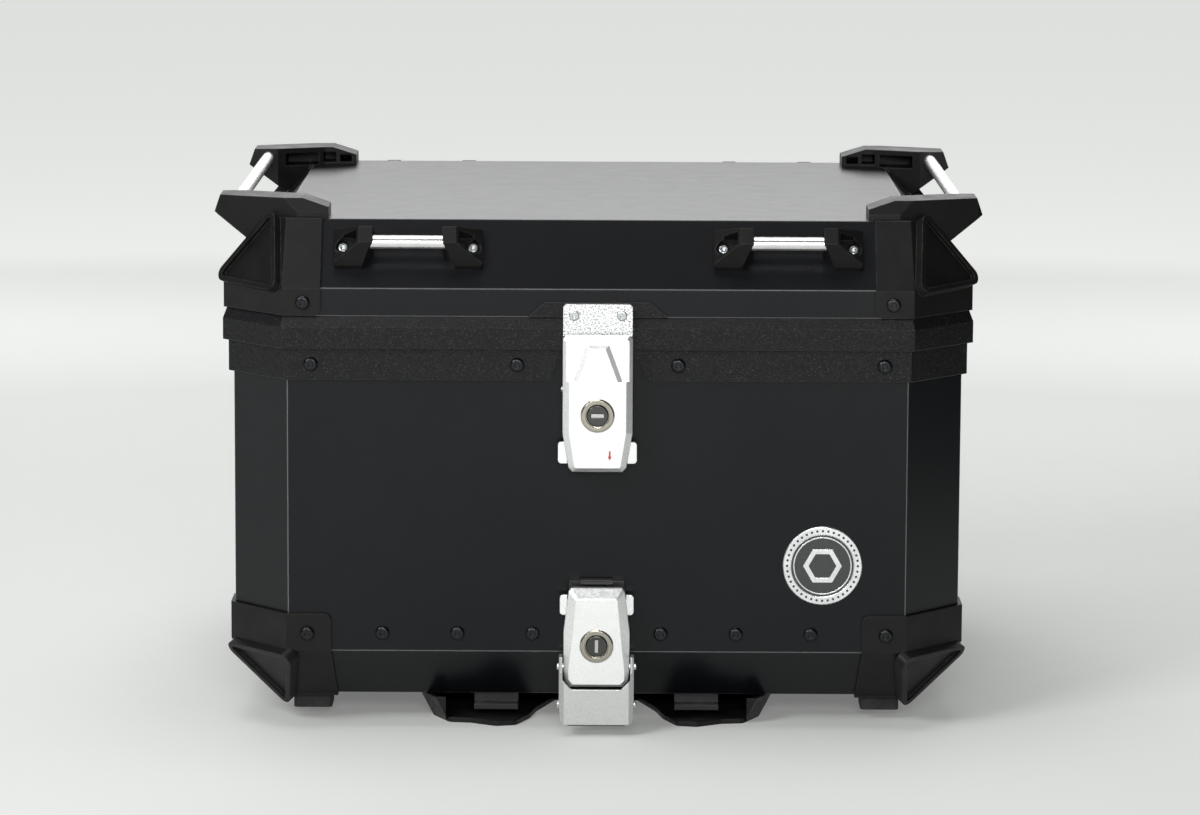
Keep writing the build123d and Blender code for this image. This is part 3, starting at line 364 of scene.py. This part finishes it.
def badge_resin():
    """Dark metallic print under a glossy dome."""
    f = Finish("badge_resin", (0.02, 0.02, 0.022), 0.30, Coat_Weight=1.0, Coat_Roughness=0.03)
    flake = f.fit(f.noise(2200.0, 2.0, 0.6), 0.45, 0.7, 0.0, 1.0)
    f.colour(f.mixed(flake, (0.008, 0.009, 0.010), (0.028, 0.030, 0.034)))
    f.roughness(f.fit(f.noise(260.0, 3.0), 0.3, 0.7, 0.22, 0.36))
    f.bump(f.noise(500.0, 2.0), 0.00002, 0.2)
    return f.done()


def red_paint():
    f = Finish("red_paint", (0.55, 0.03, 0.03), 0.5)
    f.colour(f.mixed(f.noise(1800.0, 3.0), (0.40, 0.02, 0.02), (0.66, 0.05, 0.05)))
    f.roughness(f.fit(f.noise(900.0, 2.0), 0.3, 0.7, 0.40, 0.60))
    return f.done()


def dark_print():
    f = Finish("dark_print", (0.03, 0.03, 0.032), 0.5)
    f.colour(f.mixed(f.noise(1800.0, 3.0), (0.02, 0.02, 0.022), (0.05, 0.05, 0.055)))
    f.roughness(f.fit(f.noise(900.0, 2.0), 0.3, 0.7, 0.40, 0.60))
    return f.done()


def black_card():
    f = Finish("black_card", (0.01, 0.01, 0.01), 0.9)
    f.colour(f.mixed(f.noise(20.0, 3.0), (0.008, 0.008, 0.008), (0.014, 0.014, 0.014)))
    f.roughness(f.fit(f.noise(40.0, 2.0), 0.3, 0.7, 0.85, 0.95))
    return f.done()


def floor_cloth():
    f = Finish("floor_cloth", FLOOR_COLOUR[:3], 0.9, Emission_Color=FLOOR_GLOW_COLOUR)
    cloud = f.fit(f.noise(2.2, 3.0), 0.3, 0.7, 0.0, 1.0)
    pale = FLOOR_COLOUR[:3]
    f.colour(f.mixed(cloud, tuple(c * 0.97 for c in pale), pale))
    f.roughness(f.fit(f.noise(40.0, 3.0), 0.3, 0.7, 0.85, 0.95))
    f.bump(f.noise(3.0, 2.0, distortion=0.6), 0.004, 0.25)
    # Painted light: the floor glows though it is no lamp, and glows less near the object as
    # painted shade round it.
    away = f.add("ShaderNodeVectorMath", operation="LENGTH")
    f.links.new(f.stretched((1.0, 1.0, 0.0)), away.inputs[0])
    pool = f.fit(away.outputs["Value"], GLOW_START, GLOW_END, GLOW_NEAR, GLOW_FAR)
    f.links.new(pool, f.shader.inputs["Emission Strength"])
    return f.done()


FINISHES = {
    "shell_black": powder_coat,
    "pan": mill_aluminium,
    "collar": collar_plastic,
    "corner": corner_plastic,
    "rubber": rubber,
    "screw_black": black_screw,
    "screw_zinc": zinc_screw,
    "rod": bright_rod,
    "latch_silver": lever_silver,
    "keeper_silver": keeper_silver,
    "latch_black": latch_black,
    "chrome": nickel,
    "lock_plug": recess_shaded_nickel,
    "steel": plain_steel,
    "badge_metal": badge_metal,
    "badge_face": badge_resin,
    "plate": plate_plastic,
}


def dress_nodes():
    """Give every CAD node the finish of its material slot."""
    made = {slot: maker() for slot, maker in FINISHES.items()}
    own = {"lower_stirrup": stirrup_silver()}
    for row in frame["record"]["subparts"]:
        node = frame["nodes"][row["node"]]
        node.data.materials.clear()
        node.data.materials.append(own.get(row["node"]) or made[row["material_slot"]])


# ---- small trims --------------------------------------------------------------------------------
def mesh_piece(name, build, material, body):
    """A new piece from a function that fills a bmesh, riding on a body."""
    shape = bmesh.new()
    build(shape)
    bmesh.ops.recalc_face_normals(shape, faces=shape.faces)
    data = bpy.data.meshes.new(name)
    shape.to_mesh(data)
    shape.free()
    data.materials.append(material)
    piece = bpy.data.objects.new(name, data)
    bpy.context.scene.collection.objects.link(piece)
    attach(piece, body)
    return piece


def raise_flat(shape, outline, front, thickness):
    """A thin solid with an outline in X and Z whose face stands in front of a wall."""
    near = [shape.verts.new((x, front, z)) for x, z in outline]
    far = [shape.verts.new((x, front + thickness, z)) for x, z in outline]
    shape.faces.new(near)
    shape.faces.new(list(reversed(far)))
    for i in range(len(outline)):
        j = (i + 1) % len(outline)
        shape.faces.new((near[i], far[i], far[j], near[j]))


def add_arrow():
    """The plain red arrow on the upper lever, pointing at its free end."""
    x, z = ARROW_PLACE
    tip, tail = z - ARROW_LENGTH / 2, z + ARROW_LENGTH / 2
    neck = tip + ARROW_HEAD
    half, wide = ARROW_SHAFT / 2, ARROW_HEAD / 2
    outline = [(x - half, tail), (x + half, tail), (x + half, neck), (x + wide, neck), (x, tip),
               (x - wide, neck), (x - half, neck)]
    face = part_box("upper_lever")[0].y

    def build(shape):
        raise_flat(shape, outline, face - ARROW_THICKNESS, ARROW_THICKNESS)

    mesh_piece("lever_arrow", build, red_paint(), "upper_lever")


def add_badge_dots():
    """A row of plain dots round the badge rim."""
    low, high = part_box("badge_ring")
    disc_low, disc_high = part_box("badge_disc")
    x, z = (low.x + high.x) / 2, (low.z + high.z) / 2
    radius = ((high.x - low.x) + (disc_high.x - disc_low.x)) / 4

    def build(shape):
        for i in range(RING_DOTS):
            turn = 2 * pi * i / RING_DOTS
            dot_x, dot_z = x + radius * cos(turn), z + radius * sin(turn)
            outline = [(dot_x + DOT_RADIUS * cos(k * pi / 6), dot_z + DOT_RADIUS * sin(k * pi / 6))
                       for k in range(12)]
            raise_flat(shape, outline, low.y - DOT_THICKNESS, DOT_THICKNESS)

    mesh_piece("badge_dots", build, dark_print(), "case")


def add_shutter(side):
    """The pale dust shutter in the key slot of one lock."""
    low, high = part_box(side + "_lock_ring")
    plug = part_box(side + "_key_plug")[0]
    x, z = (low.x + high.x) / 2, (low.z + high.z) / 2
    turn = radians(SHUTTER_TURN[side])
    along, across = Vector((cos(turn), -sin(turn))), Vector((sin(turn), cos(turn)))
    half_long, half_wide = SHUTTER_LENGTH / 2, SHUTTER_WIDTH / 2
    outline = []
    for a, b in ((-1, -1), (1, -1), (1, 1), (-1, 1)):
        corner = along * (a * half_long) + across * (b * half_wide)
        outline.append((x + corner.x, z + corner.y))

    def build(shape):
        raise_flat(shape, outline, plug.y + SHUTTER_DEPTH, SHUTTER_THICKNESS)

    mesh_piece(side + "_lock_shutter", build, shutter_steel(), side + "_key")


# ---- studio -------------------------------------------------------------------------------------
def add_floor():
    """A pale floor, wide enough to fill the view from any side."""
    shape = bmesh.new()
    bmesh.ops.create_circle(shape, cap_ends=True, segments=96, radius=FLOOR_RADIUS)
    data = bpy.data.meshes.new("studio_floor")
    shape.to_mesh(data)
    shape.free()
    data.materials.append(floor_cloth())
    floor = bpy.data.objects.new("studio_floor", data)
    bpy.context.scene.collection.objects.link(floor)


def add_flag():
    """A black card on the right that only reflections see: it keeps the right-hand facets dark."""
    x, front, back, top = FLAG
    shape = bmesh.new()
    corners = [(x, front, 0.002), (x, back, 0.002), (x, back, top), (x, front, top)]
    shape.faces.new([shape.verts.new(corner) for corner in corners])
    data = bpy.data.meshes.new("flag_right")
    shape.to_mesh(data)
    shape.free()
    data.materials.append(black_card())
    flag = bpy.data.objects.new("flag_right", data)
    flag.visible_camera = False
    flag.visible_diffuse = False
    flag.visible_shadow = False
    bpy.context.scene.collection.objects.link(flag)


def add_light(name, place, target, width, height, power):
    """A soft rectangular light aimed at a point."""
    data = bpy.data.lights.new(name, "AREA")
    data.shape = "RECTANGLE"
    data.size, data.size_y = width, height
    data.energy = power
    light = bpy.data.objects.new(name, data)
    light.location = place
    light.rotation_euler = (Vector(target) - Vector(place)).to_track_quat("-Z", "Y").to_euler()
    bpy.context.scene.collection.objects.link(light)


def add_lights():
    add_light("key_left", (-1.15, -1.35, 1.3), (0, -0.15, 0.2), 0.7, 0.7, 20)
    add_light("front", (0.1, -2.95, 1.0), (0, 0, 0.15), 0.9, 0.45, 29)
    add_light("overhead", (-0.25, 0.0, 2.5), (0, -0.1, 0), 2.0, 1.6, 32)
    add_light("backdrop_glow", (0.0, 1.65, 0.95), (0, 0, 0.25), 2.8, 0.9, 16.5)
    world = bpy.data.worlds.new("studio_sky")
    world.use_nodes = True
    sky = world.node_tree.nodes["Background"]
    sky.inputs["Color"].default_value = SKY_COLOUR
    nodes, links = world.node_tree.nodes, world.node_tree.links
    split = nodes.new("ShaderNodeSeparateXYZ")
    links.new(nodes.new("ShaderNodeTexCoord").outputs["Generated"], split.inputs["Vector"])
    band = nodes.new("ShaderNodeMapRange")
    links.new(split.outputs["Z"], band.inputs["Value"])
    limits = {"From Max": SKY_BAND, "To Min": SKY_HORIZON, "To Max": SKY_ABOVE}
    for name, number in limits.items():
        band.inputs[name].default_value = number
    links.new(band.outputs["Result"], sky.inputs["Strength"])
    bpy.context.scene.world = world


def add_camera():
    data = bpy.data.cameras.new("camera")
    data.lens = CAMERA_LENS
    data.sensor_width = 36.0
    data.clip_end = 50.0
    camera = bpy.data.objects.new("camera", data)
    pitch = Matrix.Rotation(radians(90 - CAMERA_PITCH), 4, "X")
    roll = Matrix.Rotation(radians(CAMERA_ROLL), 4, "Z")
    camera.matrix_world = Matrix.Translation(CAMERA_PLACE) @ pitch @ roll
    bpy.context.scene.collection.objects.link(camera)
    bpy.context.scene.camera = camera


dress_nodes()
add_arrow()
add_badge_dots()
add_shutter("upper")
add_shutter("lower")
add_floor()
add_flag()
add_lights()
add_camera()
bpy.context.scene.view_settings.view_transform = "Standard"
